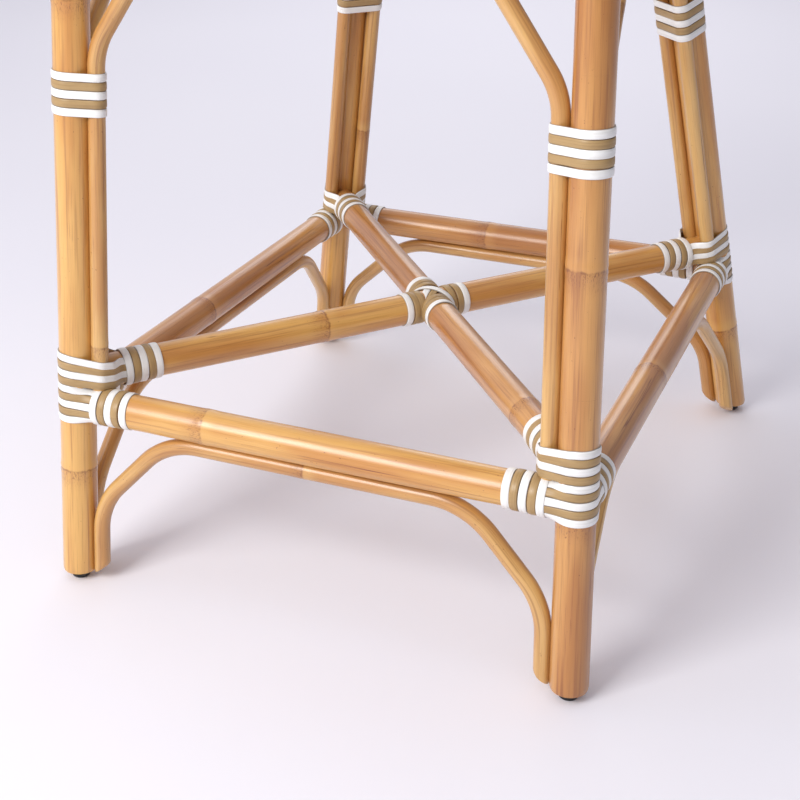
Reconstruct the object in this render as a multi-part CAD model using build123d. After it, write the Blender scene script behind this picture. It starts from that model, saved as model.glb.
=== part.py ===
from build123d import *
from math import asin, atan2, hypot, pi, sqrt, tan
import os

os.makedirs("parts", exist_ok=True)

# Bar stool with footrest, made of rattan poles bound with flat strips.
# +Z is up, the origin is the centre of the footprint on the floor, the front is towards -Y.
# Every size is in millimetres. A lean is how far a leg moves inward for each unit of height.

# Legs
front_half_width = 230.0
rear_half_width = 246.0
half_depth = 290.0
front_lean_across = 0.033
front_lean_along = 0.056
rear_lean_across = 0.157
rear_lean_along = 0.166
leg_diameter = 31.0

# Glides under the legs
glide_diameter = 16.0
glide_height = 8.5
glide_chamfer = 1.0
glide_nail_diameter = 3.0
glide_nail_length = 18.0

# Footrest
rail_diameter = 30.0
rail_height = 172.5
stretcher_diameter = 29.0
stretcher_height = 196.0

# Thin rods: arches under the seat and braces under the footrest
rod_diameter = 14.5
rod_clearance = 0.1
arch_bend_clearance = 1.0
arch_shoulder_radius = 60.0
arch_crown_radius = 50.0
brace_foot_height = 13.0
brace_foot_slant = 35.0
brace_knee_height = 78.0
brace_knee_reach = 65.0
brace_radius = 70.0
brace_nail_reach = 130.0

# Seat
seat_height = 762.0
seat_ring_diameter = 30.0
seat_corner_radius = 62.0
seat_panel_thickness = 4.0
seat_bar_diameter = 18.0
seat_bar_spacing = 150.0
seat_saddle_depth = 8.0

# Flat binding strips
strip_width = 6.9
strip_gap = 0.2
strip_thickness = 1.2
upper_binding_height = 428.0
upper_binding_strips = 5
corner_wrap_drop = 14.0
corner_wrap_opening = 0.75  # of the leg's radius, from its axis towards the middle of the stool
lower_wrap_strips = 5
upper_wrap_strips = 4
collar_strips = 5
rail_collar_gap = 5.5
stretcher_collar_gap = 9.0
crossing_collar_gap = 2.0
crossing_collar_strips = 2

# Screws and nails
screw_diameter = 4.0
screw_head_diameter = 8.0
screw_head_height = 3.0
screw_sink = 1.0
screw_grip = 38.0
screw_stagger = 5.0
seat_screw_length = 60.0
nail_diameter = 2.0
nail_length = 20.0
nail_sink = 1.0
crossing_screw_length = 24.0
crossing_screw_sink = 2.0

# Values that follow from the ones above
leg_radius = leg_diameter / 2
rail_radius = rail_diameter / 2
stretcher_radius = stretcher_diameter / 2
rod_radius = rod_diameter / 2
seat_ring_radius = seat_ring_diameter / 2
seat_bar_radius = seat_bar_diameter / 2
strip_pitch = strip_width + strip_gap
rod_spacing = leg_radius + rod_radius + rod_clearance
seat_ring_height = seat_height - seat_panel_thickness - seat_ring_radius
arch_foot_height = rail_height
under_rail_height = rail_height - rail_radius - rod_radius - rod_clearance
crown_height = seat_ring_height - seat_ring_radius - rod_radius - rod_clearance
corner_wrap_height = rail_height - corner_wrap_drop
rail_collar_start = leg_radius + rail_collar_gap
stretcher_collar_start = leg_radius + rod_diameter + stretcher_collar_gap
arch_bend_start = upper_binding_height + upper_binding_strips * strip_pitch + arch_bend_clearance
upper_wrap_height = corner_wrap_height + lower_wrap_strips * strip_pitch
arch_fit_turns = 12
reach = 2 * (half_depth + seat_height)

corners = ("front_left", "front_right", "rear_left", "rear_right")
rail_ends = {
    "front": ("front_left", "front_right"),
    "rear": ("rear_left", "rear_right"),
    "left": ("front_left", "rear_left"),
    "right": ("front_right", "rear_right"),
}
stretcher_ends = {
    "over": ("front_right", "rear_left"),
    "under": ("front_left", "rear_right"),
}


def leg_point(corner, height):
    """Point on a leg's axis at a height above the floor."""
    if corner.startswith("front"):
        across = front_half_width - front_lean_across * height
        along = -(half_depth - front_lean_along * height)
    else:
        across = rear_half_width - rear_lean_across * height
        along = half_depth - rear_lean_along * height
    if corner.endswith("left"):
        across = -across
    return Vector(across, along, height)


def leg_direction(corner):
    """Unit vector up a leg's axis."""
    return (leg_point(corner, 1) - leg_point(corner, 0)).normalized()


def towards(corner, other, height):
    """Level unit vector from one leg to another at a height."""
    return (leg_point(other, height) - leg_point(corner, height)).normalized()


def beside_leg(corner, other, height):
    """Point on the axis of a rod that lies parallel against a leg, on the side of another leg."""
    upward = leg_direction(corner)
    level = towards(corner, other, rail_height)
    square = (level - upward * level.dot(upward)).normalized()
    return leg_point(corner, height) + square * rod_spacing


def pole(start, end, radius):
    """Round pole between two points."""
    run = end - start
    return Solid.make_cylinder(radius, run.length, Plane(origin=start, z_dir=run))


def tube(path, radius):
    """Round rod bent along a path."""
    section = Plane(origin=path @ 0, z_dir=path % 0) * Circle(radius)
    return sweep(section, path=path)


def main_solid(shape):
    """Largest solid of a cut shape, without the crumbs that lie inside the other pole."""
    return shape.solids().sort_by(SortBy.VOLUME)[-1]


def above(height):
    """Large block that fills everything above a height."""
    return Pos(0, 0, height + reach / 2) * Box(reach, reach, reach)


def cut(shape, tools):
    """Take away the tools that come near a shape."""
    room = shape.bounding_box()
    near = []
    for tool in tools:
        box = tool.bounding_box()
        apart = max(room.min.X - box.max.X, room.min.Y - box.max.Y, room.min.Z - box.max.Z,
                    box.min.X - room.max.X, box.min.Y - room.max.Y, box.min.Z - room.max.Z)
        if apart < 0:
            near.append(tool)
    return shape - near if near else shape


def belt_edges(circles):
    """Edges of a taut belt round level circles, each a centre and a radius: tangents joined by arcs."""
    middle = sum((centre for centre, radius in circles), Vector(0, 0, 0)) / len(circles)
    order = sorted(circles, key=lambda circle: atan2(circle[0].Y - middle.Y, circle[0].X - middle.X))
    following = order[1:] + order[:1]
    normals = []
    for (centre, radius), (next_centre, next_radius) in zip(order, following):
        run = next_centre - centre
        share = (radius - next_radius) / run.length
        run = run.normalized()
        normals.append(run * share + Vector(run.Y, -run.X, 0) * sqrt(1 - share * share))
    edges = []
    previous = normals[-1:] + normals[:-1]
    for (centre, radius), (next_centre, next_radius), before, after in zip(order, following, previous, normals):
        arc = [centre + way * radius for way in (before, (before + after).normalized(), after)]
        edges.append(ThreePointArc(*arc))
        edges.append(Line(arc[2], next_centre + after * next_radius))
    return edges


def belt_band(circles):
    """Face between a taut belt round level circles and one a strip's thickness further out."""
    outer = [(centre, radius + strip_thickness) for centre, radius in circles]
    return make_face(belt_edges(outer)) - make_face(belt_edges(circles))


def seat_ring_edges():
    """Seat ring's centre line: straight sides, and round corners that pass over the legs."""
    circles = []
    for corner in corners:
        top = leg_point(corner, seat_ring_height)
        inward = Vector(-top.X, -top.Y, 0).normalized()
        circles.append((top + inward * seat_corner_radius, seat_corner_radius))
    return belt_edges(circles)


def ring_point(first, second):
    """Point of the seat ring's centre line midway between two legs."""
    outline = Wire(seat_ring_edges())
    middle = (leg_point(first, seat_ring_height) + leg_point(second, seat_ring_height)) / 2
    return outline.distance_to_with_closest_points(middle)[1]


def make_seat_ring():
    """Pole bent into a closed ring that the legs carry."""
    first, *others = [tube(edge, seat_ring_radius) for edge in seat_ring_edges()]
    return main_solid(first + others)


def make_seat_panel():
    """Plain solid that holds the place of the woven seat on top of the ring."""
    panel = extrude(make_face(seat_ring_edges()), amount=seat_panel_thickness, dir=(0, 0, 1))
    return Pos(0, 0, seat_ring_radius) * panel


def make_seat_bar(offset, ring):
    """Straight bar across the inside of the seat ring, coped to it at both ends."""
    half = front_half_width
    bar = pole(Vector(-half, offset, seat_ring_height), Vector(half, offset, seat_ring_height), seat_bar_radius)
    pieces = (bar - ring).solids()
    return pieces.sort_by(lambda piece: abs(piece.center().X))[0]


def arch_shoulders(first, second):
    """Corner points of an arch beside its two legs, and the height of its corner at the crown.

    The slope makes the crown meet the seat ring. The corners are as high as lets the bends start above the binding.
    """
    height = arch_bend_start
    for turn in range(arch_fit_turns):
        shoulders = [beside_leg(first, second, height), beside_leg(second, first, height)]
        half_span = (shoulders[1] - shoulders[0]).length / 2
        rise = crown_height - height - arch_crown_radius
        slope = atan2(rise, half_span) + asin(arch_crown_radius / hypot(rise, half_span))
        height = arch_bend_start + arch_shoulder_radius * tan((pi / 2 - slope) / 2)
    return shoulders, height + half_span * tan(slope)


def arch_path(first, second):
    """Centre line of an arch: up beside one leg, over to the seat ring, and down beside the next leg."""
    shoulders, apex_height = arch_shoulders(first, second)
    crown = ring_point(first, second)
    apex = Vector(crown.X, crown.Y, apex_height)
    points = [
        beside_leg(first, second, arch_foot_height),
        shoulders[0],
        apex,
        shoulders[1],
        beside_leg(second, first, arch_foot_height),
    ]
    return FilletPolyline(*points, radius=[arch_shoulder_radius, arch_crown_radius, arch_shoulder_radius])


def brace_path(first, second):
    """Centre line of a lower brace: up beside one leg, along under the rail, and down beside the next."""
    ends = []
    for corner, other in ((first, second), (second, first)):
        bend = leg_point(corner, rail_height) + towards(corner, other, rail_height) * (rod_spacing + brace_knee_reach)
        under = Vector(bend.X, bend.Y, under_rail_height)
        ends.append([beside_leg(corner, other, 0), beside_leg(corner, other, brace_knee_height), under])
    points = ends[0] + ends[1][::-1]
    return FilletPolyline(*points, radius=brace_radius)


def cut_brace_feet(brace, first, second):
    """Cut both feet of a brace on a slant that runs down towards the leg."""
    for corner, other in ((first, second), (second, first)):
        foot = beside_leg(corner, other, brace_foot_height)
        level = towards(corner, other, 0)
        plane = Plane(origin=foot, x_dir=level, z_dir=(0, 0, 1))
        depth = 4 * leg_diameter
        below = Rot(0, -brace_foot_slant, 0) * Pos(0, 0, -depth / 2) * Box(depth, depth, depth)
        brace = brace - plane * below
    return main_solid(brace)


def screw(start, direction, length):
    """Countersunk screw: a head at the start point and a plain shank along a direction."""
    direction = direction.normalized()
    head = pole(start, start + direction * screw_head_height, screw_head_diameter / 2)
    return head + pole(start, start + direction * length, screw_diameter / 2)


def nail(start, direction):
    """Plain nail from a start point along a direction."""
    return pole(start, start + direction.normalized() * nail_length, nail_diameter / 2)


def make_joint_screws():
    """Screws through each leg into the two rails and the stretcher, and one through the crossing."""
    screws = []
    for corner in corners:
        ends = list(rail_ends.values()) + list(stretcher_ends.values())
        for pair in ends:
            if corner not in pair:
                continue
            other = pair[1] if pair[0] == corner else pair[0]
            height = rail_height
            if pair in stretcher_ends.values():
                height = stretcher_height
            elif corner.endswith("left") == other.endswith("left"):
                height = rail_height - screw_stagger
            inward = towards(corner, other, height)
            start = leg_point(corner, height) - inward * (leg_radius - screw_sink)
            screws.append(screw(start, inward, leg_diameter + screw_grip))
    middle = crossing_point() + Vector(0, 0, stretcher_radius - crossing_screw_sink)
    screws.append(screw(middle, Vector(0, 0, -1), crossing_screw_length))
    return screws


def make_seat_screws():
    """Screws from the top of the seat ring down into each leg."""
    top = seat_ring_height + seat_ring_radius - screw_sink
    return [screw(leg_point(corner, top), -leg_direction(corner), seat_screw_length) for corner in corners]


def make_rod_nails():
    """Nails that fix each arch to its legs and the ring, and each brace to its legs and the rail."""
    nails = []
    for first, second in rail_ends.values():
        for corner, other in ((first, second), (second, first)):
            for height in (brace_foot_height + rod_diameter, upper_binding_height + strip_pitch):
                axis = leg_point(corner, height)
                outward = axis - beside_leg(corner, other, height)
                start = beside_leg(corner, other, height) - outward.normalized() * (rod_radius - nail_sink)
                nails.append(nail(start, outward))
            level = towards(corner, other, rail_height)
            under = leg_point(corner, rail_height) + level * (rod_spacing + brace_nail_reach)
            nails.append(nail(Vector(under.X, under.Y, under_rail_height - rod_radius + nail_sink), Vector(0, 0, 1)))
        crown = ring_point(first, second)
        nails.append(nail(Vector(crown.X, crown.Y, crown_height - rod_radius + nail_sink), Vector(0, 0, 1)))
    return nails


def crossing_point():
    """Point where the axes of the two stretchers cross."""
    a, b = (leg_point(corner, stretcher_height) for corner in stretcher_ends["over"])
    c, d = (leg_point(corner, stretcher_height) for corner in stretcher_ends["under"])
    run = b - a
    other = d - c
    share = ((c - a).X * other.Y - (c - a).Y * other.X) / (run.X * other.Y - run.Y * other.X)
    return a + run * share


def collar(start, direction, pole_radius, index):
    """One strip wound round a pole: a thin ring, the index-th from a start point."""
    direction = direction.normalized()
    low = start + direction * (index * strip_pitch)
    high = low + direction * strip_width
    return pole(low, high, pole_radius + strip_thickness) - pole(low, high, pole_radius)


def colour_of(index):
    """Strips alternate, white first."""
    return "white" if index % 2 == 0 else "tan"


def make_upper_binding(corner):
    """Strips round a leg and the two rods beside it, sorted by colour."""
    strips = {"white": [], "tan": []}
    across, along = neighbours(corner)
    for index in range(upper_binding_strips):
        height = upper_binding_height + index * strip_pitch
        plane = Plane(origin=leg_point(corner, height), x_dir=(1, 0, 0), z_dir=leg_direction(corner))
        circles = [(Vector(0, 0, 0), leg_radius)]
        for other in (across, along):
            centre = plane.to_local_coords(beside_leg(corner, other, height))
            circles.append((Vector(centre.X, centre.Y, 0), rod_radius))
        strips[colour_of(index)].append(extrude(plane * belt_band(circles), amount=strip_width))
    return strips


def neighbours(corner):
    """The leg across from a corner and the leg in line with it on the same side."""
    end, side = corner.split("_")
    other_side = "right" if side == "left" else "left"
    other_end = "rear" if end == "front" else "front"
    return f"{end}_{other_side}", f"{other_end}_{side}"


def opposite(corner):
    """The leg at the other end of a corner's stretcher."""
    return neighbours(neighbours(corner)[0])[1]


def wrap_band(corner, height, circles):
    """Thin band round level circles, leaning with the leg, one strip high."""
    level = [(Vector(centre.X, centre.Y, height), radius) for centre, radius in circles]
    lean = leg_direction(corner)
    return extrude(belt_band(level), amount=strip_width / lean.Z, dir=tuple(lean))


def beyond(point, direction):
    """Large block that fills everything past a point along a level direction."""
    size = 8 * leg_diameter
    return Plane(origin=point, z_dir=direction) * (Pos(0, 0, size / 2) * Box(size, size, size))


def make_corner_wrap(corner, poles):
    """Strips round a footrest joint, sorted by colour: the lower ones hold the rails, the upper the stretcher."""
    strips = {"white": [], "tan": []}
    across, along = neighbours(corner)
    far = opposite(corner)
    for index in range(lower_wrap_strips):
        height = corner_wrap_height + index * strip_pitch
        axis = leg_point(corner, height)
        centres = [(axis, leg_radius)]
        for other in (across, along):
            centres.append((axis + towards(corner, other, height) * rail_collar_start, rail_radius))
        band = wrap_band(corner, height, centres)
        inward = towards(corner, far, height)
        band = band - beyond(axis + inward * (leg_radius * corner_wrap_opening), inward)
        for other in (across, along):
            level = towards(corner, other, rail_height)
            band = band - beyond(leg_point(corner, rail_height) + level * rail_collar_start, level)
        strips[colour_of(index)].append(band)
    for index in range(upper_wrap_strips):
        height = upper_wrap_height + index * strip_pitch
        axis = leg_point(corner, height)
        inward = towards(corner, far, height)
        tip = axis + inward * (stretcher_collar_start + stretcher_radius)
        centres = [(axis, leg_radius), (tip, stretcher_radius)]
        for other in (across, along):
            centres.append((beside_leg(corner, other, height), rod_radius))
        band = wrap_band(corner, height, centres)
        collar_face = leg_point(corner, stretcher_height) + inward * stretcher_collar_start
        band = band - beyond(collar_face, inward)
        strips[colour_of(index + lower_wrap_strips)].append(band)
    for colour in strips:
        trimmed = []
        for band in strips[colour]:
            for solid in cut(band, poles).solids():
                if solid.volume > strip_width * strip_width:
                    trimmed.append(solid)
        strips[colour] = trimmed
    return strips


def make_collars(ends, height, start, radius, cutters):
    """Strips wound round both ends of a rail or stretcher, sorted by colour."""
    strips = {"white": [], "tan": []}
    for corner, other in (ends, ends[::-1]):
        level = towards(corner, other, height)
        first = leg_point(corner, height) + level * start
        for index in range(collar_strips):
            ring = collar(first, level, radius, index)
            strips[colour_of(index)].append(cut(ring, cutters))
    return strips


def crossing_collar_start():
    """Distance from the crossing at which a strip round one stretcher clears the other one."""
    over, under = (towards(*ends, stretcher_height) for ends in stretcher_ends.values())
    across = abs(over.cross(under).Z)
    edge = stretcher_radius + (stretcher_radius + strip_thickness) * abs(over.dot(under))
    return edge / across + crossing_collar_gap


def make_crossing_lashing():
    """Strips wound round all four arms of the crossing, sorted by colour."""
    strips = {"white": [], "tan": []}
    centre = crossing_point()
    start = crossing_collar_start()
    for ends in stretcher_ends.values():
        for corner, other in (ends, ends[::-1]):
            level = towards(corner, other, stretcher_height)
            first = centre + level * start
            for index in range(crossing_collar_strips):
                strips[colour_of(index + 1)].append(collar(first, level, stretcher_radius, index))
    return strips


def make_glide(corner):
    """Round foot pad with a chamfered rim, held under the leg."""
    foot = leg_point(corner, glide_height / 2)
    pad = Cylinder(glide_diameter / 2, glide_height)
    pad = chamfer(pad.edges().group_by(Axis.Z)[0], glide_chamfer)
    return Pos(foot.X, foot.Y, glide_height / 2) * pad


def make_glide_nail(corner):
    """Nail that goes up through the glide into the leg."""
    foot = leg_point(corner, glide_height / 2)
    start = Vector(foot.X, foot.Y, glide_chamfer)
    return pole(start, start + Vector(0, 0, glide_nail_length), glide_nail_diameter / 2)


nodes = {}


def add(name, shapes):
    """Keep a node's solids under its name."""
    nodes[name] = Compound(children=list(shapes)) if isinstance(shapes, (list, tuple)) else shapes


# Whole poles, before they are cut to fit each other
leg_blanks = {}
for corner in corners:
    leg_blanks[corner] = pole(leg_point(corner, -leg_diameter), leg_point(corner, seat_height), leg_radius)
rail_blanks = {}
for name, (first, second) in rail_ends.items():
    rail_blanks[name] = pole(leg_point(first, rail_height), leg_point(second, rail_height), rail_radius)
stretcher_blanks = {}
for name, (first, second) in stretcher_ends.items():
    start, end = leg_point(first, stretcher_height), leg_point(second, stretcher_height)
    stretcher_blanks[name] = pole(start, end, stretcher_radius)

seat_ring = make_seat_ring()
joint_screws = make_joint_screws()
seat_screws = make_seat_screws()
rod_nails = make_rod_nails()
glide_nails = [make_glide_nail(corner) for corner in corners]
fixings = joint_screws + seat_screws + rod_nails + glide_nails

# Legs: level at the foot, saddled to the seat ring at the top
saddle_top = seat_ring_height - seat_ring_radius + seat_saddle_depth
for corner in corners:
    leg = leg_blanks[corner] - above(saddle_top) - seat_ring
    leg = leg - Pos(0, 0, glide_height - reach / 2) * Box(reach, reach, reach)
    add(f"leg_{corner}", main_solid(leg))

# Footrest rails: coped to the legs, the side rails also to the front and rear ones
for name, blank in rail_blanks.items():
    rail = cut(blank, leg_blanks.values())
    if name in ("left", "right"):
        rail = rail - [rail_blanks["front"], rail_blanks["rear"]]
    add(f"footrest_rail_{name}", main_solid(rail))

# Stretchers: half-lapped where they cross
lap = above(stretcher_height)
for name, other in (("over", "under"), ("under", "over")):
    shared = stretcher_blanks["over"] & stretcher_blanks["under"]
    waste = shared - lap if name == "over" else shared & lap
    stretcher = stretcher_blanks[name] - list(leg_blanks.values()) - list(rail_blanks.values()) - waste
    add(f"stretcher_{name}", main_solid(stretcher))

# Arches and braces: the arches stand on the wound rails, notched over the stretchers
footrest_blanks = list(stretcher_blanks.values())
for first, second in rail_ends.values():
    ends = leg_point(first, rail_height), leg_point(second, rail_height)
    footrest_blanks.append(pole(*ends, rail_radius + strip_thickness))
for name, (first, second) in rail_ends.items():
    arch = tube(arch_path(first, second), rod_radius)
    add(f"arch_{name}", main_solid(arch - footrest_blanks))
    brace = tube(brace_path(first, second), rod_radius)
    add(f"brace_{name}", cut_brace_feet(brace, first, second))

# Seat
add("seat_ring", seat_ring)
add("seat_panel", make_seat_panel())
for name, offset_along in (("front", -seat_bar_spacing / 2), ("rear", seat_bar_spacing / 2)):
    add(f"seat_bar_{name}", make_seat_bar(offset_along, seat_ring))

# Screws and nails leave their own shape in everything they pass through
for name in list(nodes):
    nodes[name] = cut(nodes[name], fixings)
add("joint_screws", joint_screws)
add("seat_screws", seat_screws)
add("rod_nails", rod_nails)
add("glide_nails", glide_nails)

# Glides and bindings
poles = [nodes[name] for name in nodes if name.startswith(("leg_", "footrest_", "stretcher_", "arch_", "brace_"))]
for corner in corners:
    add(f"glide_{corner}", make_glide(corner) - glide_nails)
    for colour, strips in make_upper_binding(corner).items():
        add(f"upper_binding_{colour}_{corner}", strips)
    for colour, strips in make_corner_wrap(corner, poles).items():
        add(f"corner_wrap_{colour}_{corner}", strips)
for name, ends in rail_ends.items():
    collars = make_collars(ends, rail_height, rail_collar_start, rail_radius, list(stretcher_blanks.values()))
    for colour, strips in collars.items():
        add(f"rail_collars_{colour}_{name}", strips)
for name, ends in stretcher_ends.items():
    collars = make_collars(ends, stretcher_height, stretcher_collar_start, stretcher_radius, [])
    for colour, strips in collars.items():
        add(f"stretcher_collars_{colour}_{name}", strips)
for colour, strips in make_crossing_lashing().items():
    add(f"crossing_lashing_{colour}", strips)

for name, shape in nodes.items():
    export_step(shape, f"parts/{name}.step")
print(len(nodes), "nodes written")
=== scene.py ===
"""Bar stool of cane poles bound with flat strips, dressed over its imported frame.

Metres, +Z up, front towards -Y.
"""
import math

import bpy
import numpy as np
from mathutils import Matrix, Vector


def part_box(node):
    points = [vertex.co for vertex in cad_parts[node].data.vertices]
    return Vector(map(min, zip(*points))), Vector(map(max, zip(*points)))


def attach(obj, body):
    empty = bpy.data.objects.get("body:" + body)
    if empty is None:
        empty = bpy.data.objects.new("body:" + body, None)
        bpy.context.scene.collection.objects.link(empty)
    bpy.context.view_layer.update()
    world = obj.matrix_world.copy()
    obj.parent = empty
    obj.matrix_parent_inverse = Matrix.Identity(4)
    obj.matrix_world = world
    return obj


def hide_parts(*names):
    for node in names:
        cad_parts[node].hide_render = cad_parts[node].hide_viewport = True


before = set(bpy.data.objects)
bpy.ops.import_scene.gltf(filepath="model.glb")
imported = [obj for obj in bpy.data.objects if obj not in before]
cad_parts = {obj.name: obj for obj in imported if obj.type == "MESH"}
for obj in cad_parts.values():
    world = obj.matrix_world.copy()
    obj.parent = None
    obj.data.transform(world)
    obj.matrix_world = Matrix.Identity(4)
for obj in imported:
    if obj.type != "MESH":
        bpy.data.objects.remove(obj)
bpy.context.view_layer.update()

# ---------------------------------------------------------------- sizes

LEG_RADIUS = 0.0155
ROD_RADIUS = 0.00725
ROD_SPACING = 0.02285
STRIP_WIDTH = 0.0069
STRIP_PITCH = 0.0071
STRIP_THICKNESS = 0.0013
SCRIBED_DEPTH = 0.0006  # how far a scribed rim stands inside the leg's surface

ARCH_BEND_START = 0.4645
ARCH_BENDS = (0.060, 0.050, 0.060)
BRACE_FOOT_HEIGHT = 0.013
BRACE_FOOT_SLANT = math.radians(35)
BRACE_KNEE_HEIGHT = 0.078
BRACE_KNEE_REACH = 0.065
BRACE_BEND = 0.070
ARCH_FOOT_GAP = 0.0012  # room for the strip that is wound on the rail under an arch
ARCH_FIT_TURNS = 12

UPPER_BINDING_HEIGHT = 0.428
UPPER_BINDING_STRIPS = 5
LOWER_WRAP_STRIPS = 5
WRAP_OVERRUN = 0.0025  # how far the strips of a joint run on under the first turn of a collar
JOINT_WRAP_HEIGHT = 0.1585
RAIL_COLLAR_START = 0.021
STRETCHER_COLLAR_START = 0.039
CROSSING_COLLAR_START = 0.020
STRAP_ASIDE = 0.0036
STRAP_SIDES = 64
STRAP_NARROWING = 0.98
STRAP_LIFT = 0.0002
TOP_STRAP_LIFT = 0.0019

SEAT_CORNER_RADIUS = 0.062
SEAT_OUTLINE_STEP = 0.002
SEAT_DISH = 0.005
WINDING_SIDES = 20
WEAVE_PITCH = 0.0074
WEAVE_POINTS = 3  # to each pitch
WEAVE_WAVE = 0.0006
WEAVE_DROP = 0.0022
WEAVE_STRIP_WIDTH = 0.0070
WEAVE_STRIP_THICKNESS = 0.0010
EDGE_STRIP_WIDTH = 0.0105
EDGE_STRIP_THICKNESS = 0.0018
EDGE_STRIP_DROP = 0.0012

CORNERS = ("front_left", "front_right", "rear_left", "rear_right")
RAILS = {
    "front": ("front_left", "front_right"),
    "rear": ("rear_left", "rear_right"),
    "left": ("front_left", "rear_left"),
    "right": ("front_right", "rear_right"),
}
STRETCHERS = {"over": ("front_right", "rear_left"), "under": ("front_left", "rear_right")}
COLOURS = ("white", "tan")
UP = np.array((0.0, 0.0, 1.0))


# ---------------------------------------------------------------- places read from the frame

def unit(vectors):
    """Vectors scaled to length one along their last axis."""
    vectors = np.asarray(vectors, float)
    return vectors / np.linalg.norm(vectors, axis=-1, keepdims=True)


def middle(node):
    """Centre of a CAD node's box."""
    low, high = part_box(node)
    return (np.array(low) + np.array(high)) / 2


def half_height(node):
    """Half of a CAD node's height: the radius of a level pole."""
    low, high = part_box(node)
    return (high[2] - low[2]) / 2


def node_points(node):
    """All vertices of a CAD node as rows."""
    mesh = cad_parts[node].data
    points = np.empty(len(mesh.vertices) * 3)
    mesh.vertices.foreach_get("co", points)
    return points.reshape(-1, 3)


def screw_top(foot):
    """Centre of the seat screw's head above a foot: the middle of the highest ring of its quarter."""
    points = node_points("seat_screws")
    points = points[(points[:, 0] * foot[0] > 0) & (points[:, 1] * foot[1] > 0)]
    ring = points[points[:, 2] > points[:, 2].max() - 0.002]
    return (ring.min(axis=0) + ring.max(axis=0)) / 2


FEET = {corner: middle(f"glide_{corner}") for corner in CORNERS}
TOPS = {corner: screw_top(FEET[corner]) for corner in CORNERS}
RAIL_HEIGHT = middle("footrest_rail_front")[2]
RAIL_RADIUS = half_height("footrest_rail_front")
STRETCHER_HEIGHT = middle("stretcher_over")[2]
STRETCHER_RADIUS = half_height("stretcher_over")
RING_HEIGHT = middle("seat_ring")[2]
RING_RADIUS = half_height("seat_ring")
BAR_RADIUS = half_height("seat_bar_front")
SEAT_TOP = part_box("seat_panel")[1][2]
GLIDE_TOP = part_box("glide_front_left")[1][2]
UNDER_RAIL_HEIGHT = RAIL_HEIGHT - RAIL_RADIUS - ROD_RADIUS
CROWN_HEIGHT = RING_HEIGHT - RING_RADIUS - ROD_RADIUS


def leg_point(corner, height):
    """Point on a leg's axis at a height."""
    foot, top = FEET[corner], TOPS[corner]
    return foot + (top - foot) * ((height - foot[2]) / (top[2] - foot[2]))


def leg_direction(corner):
    """Unit vector up a leg."""
    return unit(TOPS[corner] - FEET[corner])


def towards(corner, other, height):
    """Level unit vector from one leg to another."""
    return unit(leg_point(other, height) - leg_point(corner, height))


def beside_leg(corner, other, height):
    """Point on a rod that lies against a leg, on the side of another leg."""
    upward = leg_direction(corner)
    level = towards(corner, other, RAIL_HEIGHT)
    return leg_point(corner, height) + unit(level - upward * (level @ upward)) * ROD_SPACING


def neighbours(corner):
    """The leg across from a corner and the leg in line with it."""
    end, side = corner.split("_")
    other_side = "left" if side == "right" else "right"
    other_end = "rear" if end == "front" else "front"
    return f"{end}_{other_side}", f"{other_end}_{side}"


def opposite(corner):
    """The leg at the other end of a corner's stretcher."""
    return neighbours(neighbours(corner)[0])[1]


def crossing_point():
    """Point where the two stretchers' axes cross."""
    a, b = (leg_point(corner, STRETCHER_HEIGHT) for corner in STRETCHERS["over"])
    c, d = (leg_point(corner, STRETCHER_HEIGHT) for corner in STRETCHERS["under"])
    share = np.cross(c - a, d - c)[2] / np.cross(b - a, d - c)[2]
    return a + (b - a) * share


# ---------------------------------------------------------------- grids into meshes

def grid_solid(rings, cane, knot, closed=False):
    """Closed solid from rings of points.

    Neighbouring rings are joined by quads, and open ends are filled by ladders of quads. The cane and knot
    values have one ring and one place more than the points where the grid closes on itself, so a pattern that
    runs along the piece has no squeezed seam.
    """
    count, around = rings.shape[:2]
    rows = np.arange(count if closed else count - 1)[:, None]
    columns = np.arange(around)[None, :]
    next_rows, next_columns = (rows + 1) % count, (columns + 1) % around

    def quads(width, rows_after, columns_after):
        corners = [rows * width + columns, rows_after * width + columns,
                   rows_after * width + columns_after, rows * width + columns_after]
        return np.stack([np.broadcast_to(c, (len(rows), around)) for c in corners], axis=-1).reshape(-1, 4)

    faces = quads(around, next_rows, next_columns)
    places = quads(around + 1, rows + 1, columns + 1)
    if not closed:
        rungs = np.arange(around // 2 - 1)
        ladder = np.stack([rungs, rungs + 1, around - 2 - rungs, around - 1 - rungs], axis=1)
        last = count - 1
        faces = np.concatenate([faces, ladder, ladder[:, ::-1] + last * around])
        places = np.concatenate([places, ladder, ladder[:, ::-1] + last * (around + 1)])
    points = rings.reshape(-1, 3)
    a, b, c, d = (points[faces[:, k]] for k in range(4))
    volume = np.einsum("ij,ij->i", a, np.cross(b, c)).sum() + np.einsum("ij,ij->i", a, np.cross(c, d)).sum()
    if volume < 0:
        faces, places = faces[:, ::-1], places[:, ::-1]
    return points, faces, cane.reshape(-1, 3)[places], knot.reshape(-1)[places]


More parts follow.
